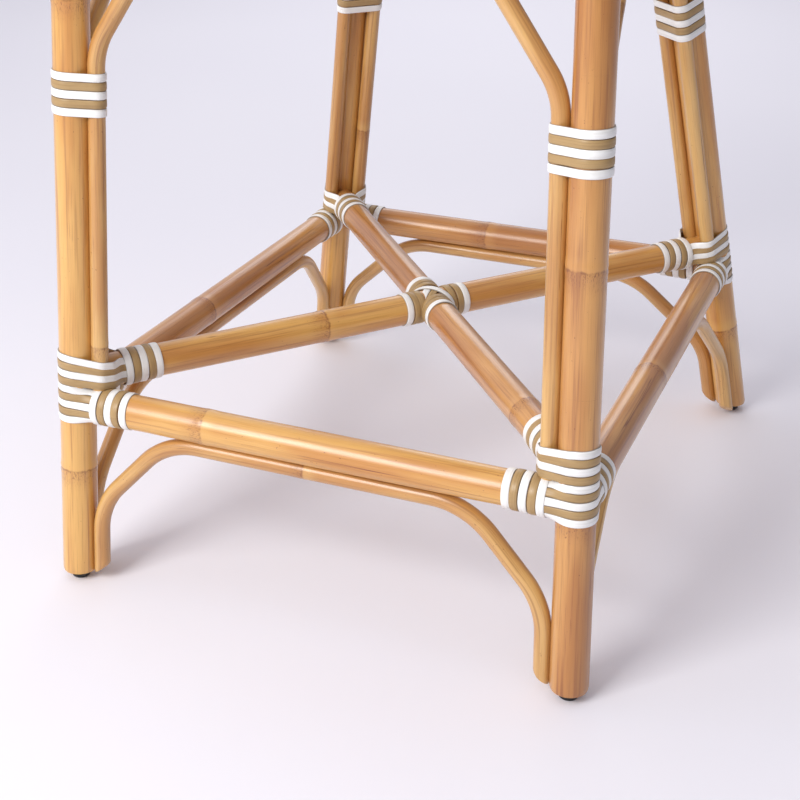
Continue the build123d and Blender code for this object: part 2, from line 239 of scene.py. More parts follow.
def make_piece(name, solids, material, slot, *nodes):
    """One object from closed solids, riding on the stool, in place of the CAD nodes it stands for."""
    starts = np.cumsum([0] + [len(solid[0]) for solid in solids[:-1]])
    points = np.concatenate([solid[0] for solid in solids])
    faces = np.concatenate([solid[1] + start for solid, start in zip(solids, starts)])
    mesh = bpy.data.meshes.new(name)
    mesh.from_pydata(points, [], faces)
    for title, kind, part, key in (("cane", "FLOAT_VECTOR", 2, "vector"), ("knot", "FLOAT", 3, "value")):
        values = np.concatenate([solid[part] for solid in solids]).astype(np.float32)
        mesh.attributes.new(title, kind, "CORNER").data.foreach_set(key, values.ravel())
    mesh.shade_smooth()
    mesh.set_sharp_from_angle(angle=math.radians(50))
    mesh.materials.append(material)
    piece = bpy.data.objects.new(name, mesh)
    bpy.context.scene.collection.objects.link(piece)
    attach(piece, "root")
    if nodes:
        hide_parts(*nodes)


def lengths_along(points, closed=False):
    """Distance along a line at each of its points. A loop has its whole length as one more value."""
    if closed:
        points = np.concatenate([points, points[:1]])
    steps = np.linalg.norm(np.diff(points, axis=0), axis=1)
    return np.concatenate([[0.0], np.cumsum(steps)])


def tangents(points, closed=False):
    """Unit direction of a line at each of its points, from the points before and after."""
    if closed:
        return unit(np.roll(points, -1, axis=0) - np.roll(points, 1, axis=0))
    return unit(np.gradient(points, axis=0))


# ---------------------------------------------------------------- cane poles and rods

POLE_SIDES = 32
ROD_SIDES = 20
SAMPLE_STEP = 0.0025
BARE = 1.0  # distance to a knot that stands for none
KNOT_SWELL, KNOT_LENGTH = 0.00055, 0.0045
GROOVE_DEPTH, GROOVE_LENGTH = 0.00045, 0.0011
ROUNDED_RIM = 0.0007
FIRST_WAVE, SECOND_WAVE = 0.00012, 0.00010
END_FADE = 0.045
ARC_POINTS = 24
random = np.random.default_rng(7)


def knot_distance(along, knots):
    """Signed distance to the nearest knot at each place along a pole."""
    if not len(knots):
        return np.full(len(along), BARE)
    apart = along[:, None] - np.asarray(knots)[None, :]
    return apart[np.arange(len(along)), np.abs(apart).argmin(axis=1)]


def cane_solid(path, reference, radius, sides, knots=(), taper=0.0, ends=(None, None)):
    """Round cane carried along a path.

    Each ring is radius * (cos a, sin a) in the plane square to the path. The radius swells at each knot
    as a narrow bell with a shallow groove in it, falls evenly by the taper from end to end, is rounded off at
    both rims, and varies by two slow waves round and along the cane. An end function gives how far each
    point of the end ring moves along the path, and the move fades out over the first few centimetres.
    """
    along = lengths_along(path)
    ahead = tangents(path)
    first = unit(reference - ahead * (ahead @ reference)[:, None])
    second = np.cross(ahead, first)
    angle = np.linspace(0, 2 * math.pi, sides, endpoint=False)
    near = knot_distance(along, knots)
    bell = KNOT_SWELL * np.exp(-(near / KNOT_LENGTH) ** 2)
    swell = bell - GROOVE_DEPTH * np.exp(-(near / GROOVE_LENGTH) ** 2)
    size = radius * (1 + taper * (0.5 - along / along[-1])) + swell * radius / LEG_RADIUS
    rim = np.minimum(along, along[-1] - along)
    size = size - ROUNDED_RIM * np.exp(-rim / ROUNDED_RIM)
    start = random.uniform(0, 9, 2)
    wave = FIRST_WAVE * np.sin(2 * angle[None, :] + 7 * along[:, None] + start[0])
    wave = wave + SECOND_WAVE * np.sin(3 * angle[None, :] - 11 * along[:, None] + start[1])
    size = size[:, None] + wave * radius / LEG_RADIUS
    offset = first[:, None] * (size * np.cos(angle))[..., None]
    offset = offset + second[:, None] * (size * np.sin(angle))[..., None]
    rings = path[:, None] + offset
    for end, place, fade_from in ((ends[0], 0, along), (ends[1], -1, along[-1] - along)):
        if end is None:
            continue
        moved = end(offset[place], ahead[place])
        fade = np.clip(1 - fade_from / END_FADE, 0, 1)
        rings = rings + ahead[:, None] * (fade[:, None] * moved[None, :])[..., None]
    turn = np.linspace(0, 2 * math.pi, sides + 1)
    cane = np.empty((len(path), sides + 1, 3))
    cane[..., 0] = radius * np.cos(turn)
    cane[..., 1] = radius * np.sin(turn)
    cane[..., 2] = along[:, None]
    cane += random.uniform(0, 50, 3)
    return grid_solid(rings, cane, np.repeat(near[:, None], sides + 1, axis=1))


def straight(start, end):
    """Evenly spaced points from one end of a pole to the other."""
    count = int(np.linalg.norm(end - start) / SAMPLE_STEP) + 2
    return start + (end - start) * np.linspace(0, 1, count)[:, None]


def cut_level(offset, ahead):
    """End cut level: each point slides along the pole until it is at the height of the axis."""
    return -offset[:, 2] / ahead[2]


def coped_to(corner, sign):
    """Rim scribed to a leg: each of its points slides along the rail onto the leg's round surface.

    The filling across the rim isn't hollowed out, so the pole's end runs on inside the leg, out of sight.
    """
    upward = leg_direction(corner)

    def end(offset, ahead):
        sideways = unit(np.cross(upward, ahead))
        level = sign * np.sqrt(np.maximum(LEG_RADIUS ** 2 - (offset @ sideways) ** 2, 0.0))
        leaning = (offset @ upward) * (upward @ ahead)
        return level - sign * (LEG_RADIUS - SCRIBED_DEPTH) - leaning
    return end


def bent(points, radii):
    """Line through corner points, each rounded to its radius by an arc that is tangent to both runs."""
    parts = [points[:1]]
    for before, corner, after, radius in zip(points[:-2], points[1:-1], points[2:], radii):
        back, on = unit(before - corner), unit(after - corner)
        half = math.acos(np.clip(back @ on, -1, 1)) / 2
        inward = unit(back + on)
        centre = corner + inward * (radius / math.sin(half))
        sweep = np.linspace(-(math.pi / 2 - half), math.pi / 2 - half, ARC_POINTS)
        level = unit(on - inward * (on @ inward))
        arc = centre - inward * (radius * np.cos(sweep))[:, None]
        parts.append(arc + level * (radius * np.sin(sweep))[:, None])
    parts.append(points[-1:])
    line = np.concatenate(parts)
    along = lengths_along(line)
    places = np.linspace(0, along[-1], int(along[-1] / SAMPLE_STEP) + 2)
    return np.stack([np.interp(places, along, line[:, k]) for k in range(3)], axis=1)


def seat_outline():
    """Loop over the legs' tops with straight sides and round corners, as belt() gives it."""
    discs = []
    for corner in CORNERS:
        top = leg_point(corner, RING_HEIGHT)
        inward = unit(-top * (1, 1, 0))
        discs.append(((top + inward * SEAT_CORNER_RADIUS)[:2], SEAT_CORNER_RADIUS))
    return belt(discs, SEAT_OUTLINE_STEP)


def belt(discs, step):
    """Taut loop round discs in a plane: an arc on each disc and the outer tangent on to the next one.

    It gives the points, their outward directions and the loop's curvature at them.
    """
    centre = np.mean([disc[0] for disc in discs], axis=0)
    order = sorted(discs, key=lambda disc: math.atan2(disc[0][1] - centre[1], disc[0][0] - centre[0]))
    normals = []
    for (here, size), (there, next_size) in zip(order, order[1:] + order[:1]):
        run = np.asarray(there) - here
        gap = np.linalg.norm(run)
        share = (size - next_size) / gap
        run = run / gap
        normals.append(run * share + np.array((run[1], -run[0])) * math.sqrt(1 - share * share))
    points, outward, bend = [], [], []
    for k, (here, size) in enumerate(order):
        there, next_size = order[(k + 1) % len(order)]
        begin = math.atan2(normals[k - 1][1], normals[k - 1][0])
        turn = (math.atan2(normals[k][1], normals[k][0]) - begin) % (2 * math.pi)
        angle = np.linspace(begin, begin + turn, max(int(size * turn / step), 2), endpoint=False)
        way = np.stack([np.cos(angle), np.sin(angle)], axis=1)
        start, stop = here + size * normals[k], there + next_size * normals[k]
        share = np.linspace(0, 1, max(int(np.linalg.norm(stop - start) / step), 2), endpoint=False)[:, None]
        points += [here + size * way, start + (stop - start) * share]
        outward += [way, np.repeat(normals[k][None], len(share), axis=0)]
        bend += [np.full(len(way), 1 / size), np.zeros(len(share))]
    return np.concatenate(points), np.concatenate(outward), np.concatenate(bend)


# ---------------------------------------------------------------- flat strips

# Sections as shares of a strip's width and thickness
STRIP_SECTION = np.array((
    (-0.50, 0.30), (-0.47, 0.66), (-0.38, 0.90), (-0.16, 1.00), (0.16, 1.00),
    (0.38, 0.90), (0.47, 0.66), (0.50, 0.30), (0.50, -0.15), (-0.50, -0.15)))
FLAT_SECTION = np.array(((-0.50, 0.20), (-0.40, 0.85), (0.0, 1.00), (0.40, 0.85), (0.50, 0.20), (0.0, -0.10)))


def strip_solid(
        points, outward, across, closed, width=STRIP_WIDTH, thickness=STRIP_THICKNESS, section=STRIP_SECTION):
    """Flat strip carried along a line: a crowned section, spread across the line, raised outward from it."""
    spread = np.broadcast_to(np.asarray(width, float), (len(points),))[:, None] * section[None, :, 0]
    raised = thickness * np.broadcast_to(section[None, :, 1], spread.shape)
    rings = points[:, None] + across[:, None] * spread[..., None] + outward[:, None] * raised[..., None]
    along = lengths_along(points, closed)
    loop = np.concatenate([section, section[:1]])
    cane = np.empty((len(along), len(loop), 3))
    cane[..., 0] = loop[:, 0] * STRIP_WIDTH
    cane[..., 1] = loop[:, 1] * thickness
    cane[..., 2] = along[:, None] + random.uniform(0, 50)
    return grid_solid(rings, cane, np.broadcast_to(loop[:, 0], cane.shape[:2]), closed)


RING_SIDES = 48
RING_TILT = 0.022
RING_SLACK = 0.00012
BINDING_SLIP, BINDING_SWAY = 0.00012, 0.00018
BINDING_STEP, WRAP_STEP = 0.0025, 0.0015
WRAP_LIFT = 0.0002
WRAP_SLIP = 0.0001
SETTLING_WIDTH = 0.008


def colour_of(index):
    """Strips alternate, white first."""
    return COLOURS[index % 2]


def ring_strip(centre, axis, radius, lift=0.0):
    """One turn of strip round a pole: a circle, tipped a little off square."""
    sideways = unit(np.cross(axis, UP)) if abs(axis[2]) < 0.9 else unit(np.cross(axis, (1.0, 0.0, 0.0)))
    tip = random.normal(0, RING_TILT, 2)
    second = np.cross(axis, sideways)
    axis = unit(axis + sideways * tip[0] + second * tip[1])
    first = unit(sideways - axis * (sideways @ axis))
    second = np.cross(axis, first)
    angle = np.linspace(0, 2 * math.pi, RING_SIDES, endpoint=False)[:, None]
    outward = first * np.cos(angle) + second * np.sin(angle)
    points = centre + outward * (radius + lift + random.uniform(0, RING_SLACK))
    return strip_solid(points, outward, np.broadcast_to(axis, points.shape), True)


def smooth_step(value):
    """Eased from 0 to 1, flat at both ends."""
    value = np.clip(value, 0, 1)
    return value * value * (3 - 2 * value)


def kept_run(keep):
    """Indices of the longest run of kept points on a closed loop, in order."""
    count = len(keep)
    if keep.all():
        return np.arange(count)
    runs = []
    for start in np.flatnonzero(keep & ~np.roll(keep, 1)):
        order = (start + np.arange(count)) % count
        runs.append(order[:int(np.argmin(keep[order]))])
    return max(runs, key=len)


def upper_binding(corner):
    """Strips tied round a leg and the two rods beside it, sorted by colour."""
    strips = {colour: [] for colour in COLOURS}
    axis = leg_direction(corner)
    first = unit(np.cross((0.0, 1.0, 0.0), axis))
    second = np.cross(axis, first)
    for index in range(UPPER_BINDING_STRIPS):
        height = UPPER_BINDING_HEIGHT + (index + 0.5) * STRIP_PITCH
        origin = leg_point(corner, height)
        discs = [(np.zeros(2), LEG_RADIUS)]
        for other in neighbours(corner):
            away = beside_leg(corner, other, height) - origin
            discs.append((np.array((away @ first, away @ second)), ROD_RADIUS))
        flat, out = belt(discs, BINDING_STEP)[:2]
        outward = first * out[:, :1] + second * out[:, 1:]
        slip = random.normal(0, BINDING_SLIP)
        slip = slip + BINDING_SWAY * np.sin(np.arctan2(out[:, 1], out[:, 0]) + random.uniform(0, 6))
        points = origin + first * flat[:, :1] + second * flat[:, 1:] + axis * slip[:, None]
        across = np.broadcast_to(axis, points.shape)
        strips[colour_of(index)].append(strip_solid(points, outward, across, True))
    return strips


def settled(points, outward, across, corner, level, side_of, height, radius, angle, start, stop, fall_from):
    """Strip line that leaves the leg and settles onto a level pole.

    From start to stop, which are distances from the leg's axis, each point eases sideways onto the pole's
    round surface at an angle above level, and its outward direction turns with it. Its height goes over to
    the pole's evenly, from fall_from to stop.
    """
    origin = leg_point(corner, height)
    away = (points - origin) @ level
    sideways = unit(np.cross(UP, level)) * side_of
    out = sideways * math.cos(angle) + UP * math.sin(angle)
    target = origin + level * away[:, None] + out * radius
    on_side = smooth_step(((points - origin) @ sideways) / SETTLING_WIDTH)
    ease = (smooth_step((away - start) / (stop - start)) * on_side)[:, None]
    fall = np.clip((away - fall_from) / (stop - fall_from), 0, 1)
    move = (target - points) * ease
    move[:, 2] = (target[:, 2] - points[:, 2]) * (fall * on_side)
    outward = unit(outward + (out - outward) * ease)
    turned = np.cross(level, out)
    turned = turned * np.sign(turned[2])
    across = unit(across + (turned - across) * ease)
    return points + move, outward, across


UPPER_STRIP_ANGLES = (-25, 0, 21, 43)
RAIL_SETTLING = (0.002, RAIL_COLLAR_START, 0.002)
STRETCHER_SETTLING = (0.0245, STRETCHER_COLLAR_START, -0.012)


def joint_wrap(corner):
    """Strips tied round a footrest joint, sorted by colour.

    The lower ones hold the rails and the upper ones the stretcher.
    """
    strips = {colour: [] for colour in COLOURS}
    others = neighbours(corner)
    far = opposite(corner)
    axis = leg_direction(corner)
    for index in range(LOWER_WRAP_STRIPS + len(UPPER_STRIP_ANGLES)):
        height = JOINT_WRAP_HEIGHT + (index + 0.5) * STRIP_PITCH
        origin = leg_point(corner, height)
        discs = [(origin[:2], LEG_RADIUS + WRAP_LIFT)]
        if index < LOWER_WRAP_STRIPS:
            ways = [towards(corner, other, RAIL_HEIGHT) for other in others]
            for way in ways:
                discs.append(((origin + way * RAIL_COLLAR_START)[:2], RAIL_RADIUS))
            limit = RAIL_COLLAR_START + WRAP_OVERRUN
            level_height, pole_radius = RAIL_HEIGHT, RAIL_RADIUS
            angle = (height - RAIL_HEIGHT) / (RAIL_RADIUS + STRIP_THICKNESS / 2)
            ease = RAIL_SETTLING
        else:
            ways = [towards(corner, far, STRETCHER_HEIGHT)]
            tip = origin + ways[0] * (STRETCHER_COLLAR_START + STRETCHER_RADIUS)
            discs.append((tip[:2], STRETCHER_RADIUS))
            for other in others:
                discs.append((beside_leg(corner, other, height)[:2], ROD_RADIUS))
            limit = STRETCHER_COLLAR_START + WRAP_OVERRUN
            level_height, pole_radius = STRETCHER_HEIGHT, STRETCHER_RADIUS
            angle = math.radians(UPPER_STRIP_ANGLES[index - LOWER_WRAP_STRIPS])
            ease = STRETCHER_SETTLING
        flat, out = belt(discs, WRAP_STEP)[:2]
        points = np.column_stack([flat, np.full(len(flat), height)])
        outward = np.column_stack([out, np.zeros(len(out))])
        keep = np.ones(len(points), bool)
        for way in ways:
            keep &= (points - origin) @ way < limit
        order = kept_run(keep)
        points, outward = points[order], outward[order]
        across = np.broadcast_to(UP, points.shape)
        centre_way = unit(sum(ways))
        for way in ways:
            sides = (1.0, -1.0)
            if index < LOWER_WRAP_STRIPS:
                sides = (-np.sign(np.cross(way, centre_way)[2]),)
            for side in sides:
                points, outward, across = settled(
                    points, outward, across, corner, way, side, level_height, pole_radius, angle, *ease)
        points = points + random.normal(0, WRAP_SLIP) * axis
        strips[colour_of(index)].append(strip_solid(points, outward, across, False))
    return strips


COLLAR_LIFTS = (0.0009, 0.00055, 0.0004, 0.0003, 0.0001)  # of each turn, from the leg outwards


def collars(ends, height, start, radius):
    """Turns of strip round both ends of a rail or stretcher, sorted by colour."""
    strips = {colour: [] for colour in COLOURS}
    for corner, other in (ends, ends[::-1]):
        level = towards(corner, other, height)
        for index, lift in enumerate(COLLAR_LIFTS):
            centre = leg_point(corner, height) + level * (start + (index + 0.5) * STRIP_PITCH)
            strips[colour_of(index)].append(ring_strip(centre, level, radius, lift))
    return strips


def diagonal_strap(centre, way, lift, aside):
    """Strap round the crossing, from one hollow between two arms to the opposite one.

    It is an ellipse on edge, moved aside, and a little narrower than the crossing of two round poles is.
    """
    angle = np.linspace(0, 2 * math.pi, STRAP_SIDES, endpoint=False)[:, None]
    wide = STRETCHER_RADIUS / math.sin(math.radians(45)) * STRAP_NARROWING + lift
    high = STRETCHER_RADIUS + lift
    beside = unit(np.cross(way, UP))
    points = centre + way * (wide * np.cos(angle)) + UP * (high * np.sin(angle)) + beside * aside
    outward = unit(way * (np.cos(angle) * high) + UP * (np.sin(angle) * wide))
    return strip_solid(points, outward, np.broadcast_to(beside, points.shape), True)


def crossing_binding():
    """Turns round the four arms of the crossing and three straps laid diagonally round it, by colour."""
    strips = {colour: [] for colour in COLOURS}
    centre = crossing_point()
    for name, ends in STRETCHERS.items():
        for corner, other in (ends, ends[::-1]):
            level = towards(corner, other, STRETCHER_HEIGHT)
            for index in range(-1, 2):
                place = centre + level * (CROSSING_COLLAR_START + (index + 0.5) * STRIP_PITCH)
                colour = "white" if index == 1 else "tan"
                lift = STRAP_LIFT if name == "over" else 0.0
                strips[colour].append(ring_strip(place, level, STRETCHER_RADIUS, lift))
    over = towards(*STRETCHERS["over"], STRETCHER_HEIGHT)
    under = towards(*STRETCHERS["under"], STRETCHER_HEIGHT)
    strips["white"].append(diagonal_strap(centre, unit(under + over), STRAP_LIFT, -STRAP_ASIDE))
    strips["tan"].append(diagonal_strap(centre, unit(under + over), STRAP_LIFT, STRAP_ASIDE))
    strips["white"].append(diagonal_strap(centre, unit(under - over), TOP_STRAP_LIFT, 0.0))
    return strips


# ---------------------------------------------------------------- finishes

def tone(red, green, blue):
    """Paint chart colour, 0 to 255, as the linear colour a shader takes."""
    chart = np.array((red, green, blue)) / 255
    linear = np.where(chart <= 0.04045, chart / 12.92, ((chart + 0.055) / 1.055) ** 2.4)
    return (*linear.tolist(), 1.0)


class Finish:
    """A node material: set() feeds its shader, and each method below it adds a node and gives its output."""

    def __init__(self, name):
        self.material = bpy.data.materials.new(name)
        self.material.use_nodes = True
        self.tree = self.material.node_tree
        self.tree.nodes.clear()
        output = self.tree.nodes.new("ShaderNodeOutputMaterial")
        self.shader = self.tree.nodes.new("ShaderNodeBsdfPrincipled")
        self.tree.links.new(self.shader.outputs[0], output.inputs[0])

    def feed(self, socket, value):
        """Link an output to a socket, or set a plain value on it."""
        if isinstance(value, bpy.types.NodeSocket):
            self.tree.links.new(value, socket)
        else:
            socket.default_value = value

    def set(self, **inputs):
        """Values or outputs for the shader's own sockets, by name with _ for spaces."""
        for title, value in inputs.items():
            self.feed(self.shader.inputs[title.replace("_", " ")], value)

    def attribute(self, title, output="Vector"):
        node = self.tree.nodes.new("ShaderNodeAttribute")
        node.attribute_name = title
        return node.outputs[output]

    def place(self):
        return self.tree.nodes.new("ShaderNodeTexCoord").outputs["Object"]

    def scaled(self, vector, *scale):
        node = self.tree.nodes.new("ShaderNodeMapping")
        self.feed(node.inputs["Vector"], vector)
        node.inputs["Scale"].default_value = scale
        return node.outputs[0]

    def noise(self, vector, scale=1.0, detail=3.0, roughness=0.55, distortion=0.0):
        node = self.tree.nodes.new("ShaderNodeTexNoise")
        self.feed(node.inputs["Vector"], vector)
        values = {"Scale": scale, "Detail": detail, "Roughness": roughness, "Distortion": distortion}
        for title, value in values.items():
            node.inputs[title].default_value = value
        return node.outputs[0]

    def math(self, operation, first, second=0.0, third=0.0):
        node = self.tree.nodes.new("ShaderNodeMath")
        node.operation = operation
        for socket, value in zip(node.inputs, (first, second, third)):
            self.feed(socket, value)
        return node.outputs[0]

    def times(self, first, second):
        return self.math("MULTIPLY", first, second)

    def ranged(self, value, low, high, to_low=0.0, to_high=1.0):
        node = self.tree.nodes.new("ShaderNodeMapRange")
        node.interpolation_type = "SMOOTHSTEP"
        values = {"Value": value, "From Min": low, "From Max": high, "To Min": to_low, "To Max": to_high}
        for title, given in values.items():
            self.feed(node.inputs[title], given)
        return node.outputs[0]

    def mixed(self, factor, first, second, blend="MIX"):
        node = self.tree.nodes.new("ShaderNodeMix")
        node.data_type = "RGBA"
        node.blend_type = blend
        self.feed(node.inputs[0], factor)
        self.feed(node.inputs[6], first)
        self.feed(node.inputs[7], second)
        return node.outputs[2]

    def bump(self, height, strength, distance):
        node = self.tree.nodes.new("ShaderNodeBump")
        self.feed(node.inputs["Height"], height)
        node.inputs["Strength"].default_value = strength
        node.inputs["Distance"].default_value = distance
        return node.outputs[0]


def cane_finish(name, light, mid, dark, knot_brown):
    """Lacquered cane: slow colour drift, fine lengthwise streaks, a few splits, and specks.

    A knot is a thin broken ring. On one side of it short dark flecks lie along the grain, closest together at
    the ring, and on the other side the cane is smooth and a little paler.
    """
    finish = Finish(name)
    cane = finish.attribute("cane")
    drift = finish.noise(finish.scaled(cane, 42, 42, 6), detail=2)
    streak = finish.noise(finish.scaled(cane, 330, 330, 7), detail=4, roughness=0.6)
    fibre = finish.noise(finish.scaled(cane, 1500, 1500, 26), detail=2)
    colour = finish.mixed(finish.ranged(drift, 0.35, 0.66), light, mid)
    colour = finish.mixed(finish.times(finish.ranged(streak, 0.48, 0.74), 0.60), colour, dark)
    colour = finish.mixed(finish.times(finish.ranged(fibre, 0.50, 0.80), 0.32), colour, dark)
    specks = finish.noise(finish.scaled(cane, 560, 560, 280), detail=1)
    speckled = finish.times(finish.ranged(specks, 0.755, 0.80), 0.6)
    colour = finish.mixed(speckled, colour, knot_brown)
    grain = finish.noise(finish.scaled(cane, 190, 190, 3.2), detail=1)
    line = finish.ranged(finish.math("ABSOLUTE", finish.math("SUBTRACT", grain, 0.5)), 0.002, 0.010, 1.0, 0.0)
    here = finish.ranged(finish.noise(finish.scaled(cane, 60, 60, 11)), 0.60, 0.66)
    split = finish.times(line, here)
    colour = finish.mixed(finish.times(split, 0.75), colour, knot_brown)
    ragged = finish.noise(finish.scaled(cane, 240, 240, 90), detail=3)
    wander = finish.math("MULTIPLY_ADD", ragged, 0.0036, -0.0018)
    knot = finish.math("ADD", finish.attribute("knot", "Fac"), wander)
    broken = finish.ranged(finish.noise(finish.scaled(cane, 130, 130, 40), detail=1), 0.42, 0.60, 0.10, 1.0)
    thin = finish.ranged(finish.math("ABSOLUTE", knot), 0.0002, 0.0017, 1.0, 0.0)
    ring = finish.times(thin, broken)
    dashes = finish.noise(finish.scaled(cane, 1300, 1300, 330), detail=2, roughness=0.6)
    rising, stopping = finish.ranged(knot, -0.022, -0.0015), finish.ranged(knot, -0.0002, 0.0008, 1.0, 0.0)
    zone = finish.times(rising, stopping)
    crowded = finish.ranged(finish.math("MULTIPLY_ADD", zone, 0.05, dashes), 0.58, 0.70)
    fleck = finish.times(crowded, zone)
    smooth, fading = finish.ranged(knot, 0.0, 0.002), finish.ranged(knot, 0.004, 0.016, 0.45, 0.0)
    paler = finish.times(smooth, fading)
    colour = finish.mixed(paler, colour, light)
    colour = finish.mixed(finish.times(zone, 0.24), colour, dark)
    colour = finish.mixed(finish.times(fleck, 0.62), colour, knot_brown)
    colour = finish.mixed(finish.times(ring, 0.55), colour, knot_brown)
    height = finish.math("ADD", finish.times(streak, 0.5), finish.times(fibre, 0.4))
    height = finish.math("SUBTRACT", height, finish.times(finish.math("ADD", fleck, split), 0.5))
    rough = finish.ranged(drift, 0.3, 0.7, 0.28, 0.40)
    finish.set(Base_Color=colour, Roughness=rough, Normal=finish.bump(height, 0.20, 0.0006))
    finish.set(Coat_Weight=0.75, Coat_Roughness=0.26)
    return finish.material


def strip_finish(name, base, shade, roughness):
    """Flat strip: fine lengthwise lines, slow unevenness, and a dark band along both edges that is partly dirt
    and partly painted shade in the gaps between neighbouring strips.
    """
    finish = Finish(name)
    cane = finish.attribute("cane")
    lines = finish.noise(finish.scaled(cane, 1500, 600, 14), detail=3)
    patches = finish.noise(finish.scaled(cane, 160, 160, 40), detail=2)
    soiled_and_shaded_edge = finish.ranged(finish.math("ABSOLUTE", finish.attribute("knot", "Fac")), 0.44, 0.50)
    colour = finish.mixed(finish.times(finish.ranged(lines, 0.45, 0.75), 0.45), base, shade)
    colour = finish.mixed(finish.times(finish.ranged(patches, 0.45, 0.7), 0.25), colour, shade)
    # dark brown band along both edges: partly dirt, partly painted shade in the gaps between strips
    colour = finish.mixed(finish.times(soiled_and_shaded_edge, 0.75), colour, tone(104, 84, 62))
    rough = finish.ranged(patches, 0.3, 0.7, roughness - 0.05, roughness + 0.07)
    finish.set(Base_Color=colour, Roughness=rough, Normal=finish.bump(lines, 0.20, 0.0004))
    return finish.material


def rubber_finish():
    """Black foot pads: faint moulded grain, dusty in patches."""
    finish = Finish("black_foot_pad")
    grain = finish.noise(finish.place(), scale=900, detail=3)
    dust = finish.noise(finish.place(), scale=140, detail=2)
    colour = finish.mixed(finish.ranged(dust, 0.45, 0.75), tone(26, 25, 26), tone(60, 57, 55))
    rough = finish.ranged(grain, 0.3, 0.7, 0.42, 0.6)
    finish.set(Base_Color=colour, Roughness=rough, Normal=finish.bump(grain, 0.2, 0.0004))
    return finish.material


def steel_finish():
    """Plain steel of the screws and nails, brushed and a little tarnished."""
    finish = Finish("screw_steel")
    tarnish = finish.noise(finish.place(), scale=300, detail=3)
    colour = finish.mixed(finish.ranged(tarnish, 0.4, 0.7), tone(176, 176, 178), tone(120, 114, 106))
    finish.set(Base_Color=colour, Metallic=1.0, Roughness=finish.ranged(tarnish, 0.3, 0.7, 0.28, 0.5))
    return finish.material


def floor_finish():
    """Pale studio floor with the faintest cloudiness."""
    finish = Finish("studio_floor")
    cloud = finish.noise(finish.place(), scale=1.3, detail=1)
    colour = finish.mixed(cloud, tone(247, 246, 252), tone(241, 240, 248))
    finish.set(Base_Color=colour, Roughness=0.65, Specular_IOR_Level=0.2)
    return finish.material


POLE_CANE = cane_finish(
    "pole_cane", tone(225, 174, 96), tone(201, 140, 69), tone(148, 82, 37), tone(120, 56, 24))
# darker copy of the pole cane for the legs and poles that look darker: partly a deeper cane tone, partly
# painted shade
DEEP_AND_SHADED_POLE_CANE = cane_finish(
    "deep_and_shaded_pole_cane", tone(208, 152, 84), tone(182, 121, 60), tone(130, 68, 31), tone(108, 48, 22))
ROD_CANE = cane_finish(
    "rod_cane", tone(218, 174, 106), tone(194, 138, 74), tone(138, 84, 42), tone(112, 54, 26))
STRIPS = {
    "white": strip_finish("white_binding_strip", tone(246, 246, 244), tone(214, 211, 203), 0.36),
    "tan": strip_finish("tan_binding_strip", tone(178, 147, 100), tone(134, 104, 66), 0.38),
}
SLOTS = {"white": "white_strip", "tan": "tan_strip"}


# ---------------------------------------------------------------- the stool's pieces

# Taper of each kind of cane from its first end to its last, as a share of its radius
LEG_TAPER, RAIL_TAPER, STRETCHER_TAPER, ROD_TAPER = 0.05, 0.03, 0.02, 0.02


def make_legs():
    """Four leg poles: cut level at the foot, running up into the wound seat ring."""
    knots = {"front_left": (0.111, 0.520), "front_right": (0.162, 0.3595, 0.640),
             "rear_left": (0.505,), "rear_right": (0.104, 0.560)}
    for corner in CORNERS:
        slope = 1 / leg_direction(corner)[2]
        path = straight(leg_point(corner, GLIDE_TOP), leg_point(corner, RING_HEIGHT))
        places = [(height - GLIDE_TOP) * slope for height in knots[corner]]
        ends = (cut_level, None)
        solid = cane_solid(path, np.array((1.0, 0, 0)), LEG_RADIUS, POLE_SIDES, places, LEG_TAPER, ends)
        # the front right leg takes the darker copy of the pole cane, partly painted shade
        cane = DEEP_AND_SHADED_POLE_CANE if corner == "front_right" else POLE_CANE
        make_piece(f"cane_leg_{corner}", [solid], cane, "rattan_pole", f"leg_{corner}")


def make_level_poles(title, node, poles, height, radius, taper, knots, lighter):
    """Level poles with both rims scribed to the legs. The named one is of the lighter pole cane, the others of
    a darker copy of it that is partly a deeper cane tone and partly painted shade.
    """
    for name, (first, second) in poles.items():
        level = towards(first, second, height)
        start = leg_point(first, height) + level * (LEG_RADIUS - SCRIBED_DEPTH)
        end = leg_point(second, height) - level * (LEG_RADIUS - SCRIBED_DEPTH)
        length = np.linalg.norm(end - start)
        places = [length * k for k in knots[name]]
        ends = (coped_to(first, 1), coped_to(second, -1))
        solid = cane_solid(straight(start, end), UP, radius, POLE_SIDES, places, taper, ends)
        # all but the named pole take the darker copy of the pole cane, partly painted shade
        cane = POLE_CANE if name == lighter else DEEP_AND_SHADED_POLE_CANE
        make_piece(f"{title}_{name}", [solid], cane, "rattan_pole", f"{node}_{name}")


def make_footrest():
    """Footrest rails, and the diagonal stretchers a little above them.

    The stretchers lie at one height and keep their full round, so each runs through the other at the crossing.
    """
    rail_knots = {"front": (0.272,), "rear": (0.418,), "left": (0.403,), "right": (0.44,)}
    make_level_poles(
        "cane_rail", "footrest_rail", RAILS, RAIL_HEIGHT, RAIL_RADIUS, RAIL_TAPER, rail_knots, "front")
    stretcher_knots = {"over": (0.137,), "under": (0.335,)}
    make_level_poles(
        "cane_stretcher", "stretcher", STRETCHERS, STRETCHER_HEIGHT, STRETCHER_RADIUS, STRETCHER_TAPER,
        stretcher_knots, "under")


